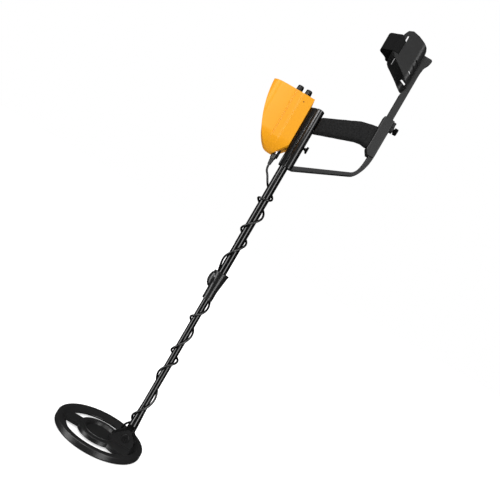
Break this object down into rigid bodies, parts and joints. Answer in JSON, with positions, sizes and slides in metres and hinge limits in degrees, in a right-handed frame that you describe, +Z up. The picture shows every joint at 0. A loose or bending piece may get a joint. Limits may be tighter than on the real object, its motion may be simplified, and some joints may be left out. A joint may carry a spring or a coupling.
{
  "type": "metal detector",
  "caption": "Hand-held metal detector: round search coil on a tilting pivot, telescopic stem, control box with knobs and meter, foam grip and strapped armrest.",
  "frame": {"origin": "on the floor under the centre of the search coil", "axes": "+Z up the stem, +X from the coil's centre towards the stem, the grip and the elbow, +Y to the side away from the clamp bolt's head"},
  "size_m": [0.3418, 0.21, 1.1205],
  "materials": {
    "coil_plastic": "satin",
    "tube_black": "gloss black coat",
    "collar_plastic": "satin",
    "handle_plastic": "satin",
    "cuff_plastic": "satin",
    "grip_foam": "dull foam",
    "box_amber": "smooth",
    "panel_black": "fine texture",
    "knob_black": "smooth",
    "plug_black": "smooth",
    "rubber_black": "dull",
    "cable_black": "smooth jacket",
    "strap_webbing": "woven",
    "steel": "plated",
    "copper": "enamelled copper wire",
    "board_green": "coated board",
    "scale_white": "matte",
    "needle_red": "painted",
    "window_clear": "clear plastic",
    "battery_case": "printed foil",
    "speaker_black": "paper cone and plastic frame"
  },
  "bodies": {
    "handle": {"upper_tube": "tube_black", "clamp_collet": "collar_plastic", "stem_holder": "handle_plastic", "holder_clamp_nut": "steel", "handle_loop": "handle_plastic", "grip_core": "handle_plastic", "grip_foam": "grip_foam", "arm_clamp_nut": "steel", "box_cover": "box_amber", "box_base": "box_amber", "box_side_screw": "steel", "control_panel": "panel_black", "circuit_board": "board_green", "board_posts": "steel", "potentiometers": "steel", "mode_switch": "steel", "meter_case": "panel_black", "meter_scale": "scale_white", "meter_window": "window_clear", "speaker": "speaker_black", "batteries": "battery_case", "battery_tray": "handle_plastic", "coil_socket": "steel", "headphone_socket": "knob_black", "plug_body": "plug_black", "plug_boot": "rubber_black", "cable_upper": "cable_black"},
    "lower_stem": {"stem_tip": "handle_plastic", "lower_tube": "tube_black", "stem_bush": "collar_plastic", "pivot_washers": "rubber_black", "cable_winding": "cable_black"},
    "coil": {"coil_top_shell": "coil_plastic", "coil_bottom_cover": "coil_plastic", "coil_screws": "steel", "transmit_winding": "copper", "receive_winding": "copper", "coil_gland": "rubber_black", "pivot_bolt": "collar_plastic", "cable_lead": "cable_black"},
    "nut": {"pivot_nut": "collar_plastic"},
    "collar": {"lock_collar": "collar_plastic"},
    "holder_knob": {"holder_clamp_knob": "knob_black"},
    "armrest": {"armrest_bar": "handle_plastic", "armrest_cuff": "cuff_plastic", "cuff_screws": "steel", "arm_strap": "strap_webbing"},
    "armrest_knob": {"arm_clamp_knob": "knob_black"},
    "sensitivity": {"sensitivity_knob": "knob_black"},
    "volume": {"volume_knob": "knob_black"},
    "lever": {"mode_lever": "steel"},
    "needle": {"meter_needle": "needle_red"},
    "door": {"battery_door": "box_amber"}
  },
  "joints": [
    {"name": "stem_telescope", "type": "slide", "parent": "handle", "child": "lower_stem", "axis": [0, 0, 1], "range_m": [0, 0.2], "deforming": ["cable_winding"]},
    {"name": "coil_pivot", "type": "hinge", "parent": "lower_stem", "child": "coil", "pos_m": [0.057, 0, 0.032], "axis": [0, 1, 0], "range_deg": [-80, 80], "deforming": ["cable_lead"]},
    {"name": "pivot_nut_turn", "type": "hinge", "parent": "coil", "child": "nut", "pos_m": [0.057, 0.0153, 0.032], "axis": [0, 1, 0], "range_deg": [-180, 180]},
    {"name": "collar_twist", "type": "hinge", "parent": "handle", "child": "collar", "pos_m": [0.057, 0, 0.42], "axis": [0, 0, 1], "range_deg": [0, 90]},
    {"name": "holder_knob_turn", "type": "hinge", "parent": "handle", "child": "holder_knob", "pos_m": [0.0748, 0, 0.7855], "axis": [1, 0, 0], "range_deg": [-180, 180]},
    {"name": "armrest_slide", "type": "slide", "parent": "handle", "child": "armrest", "axis": [0, 0, 1], "range_m": [-0.02, 0.04]},
    {"name": "armrest_knob_turn", "type": "hinge", "parent": "handle", "child": "armrest_knob", "pos_m": [0.2188, 0, 0.9205], "axis": [1, 0, 0], "range_deg": [-180, 180]},
    {"name": "sensitivity_turn", "type": "hinge", "parent": "handle", "child": "sensitivity", "pos_m": [0.0018, -0.021, 0.8795], "axis": [0, 0, 1], "range_deg": [-150, 150]},
    {"name": "volume_turn", "type": "hinge", "parent": "handle", "child": "volume", "pos_m": [0.0228, -0.021, 0.8795], "axis": [0, 0, 1], "range_deg": [-150, 150]},
    {"name": "mode_lever_flip", "type": "hinge", "parent": "handle", "child": "lever", "pos_m": [0.012, 0.021, 0.8801], "axis": [0, 1, 0], "range_deg": [-14, 14]},
    {"name": "needle_swing", "type": "hinge", "parent": "handle", "child": "needle", "pos_m": [-0.022, 0, 0.8755], "axis": [0, 0, 1], "range_deg": [-35, 35], "stiffness_Nm_per_rad": 0.00002},
    {"name": "battery_door_hinge", "type": "hinge", "parent": "handle", "child": "door", "pos_m": [0.0382, 0.045, 0.8295], "axis": [0, 0, -1], "range_deg": [0, 100]}
  ]
}
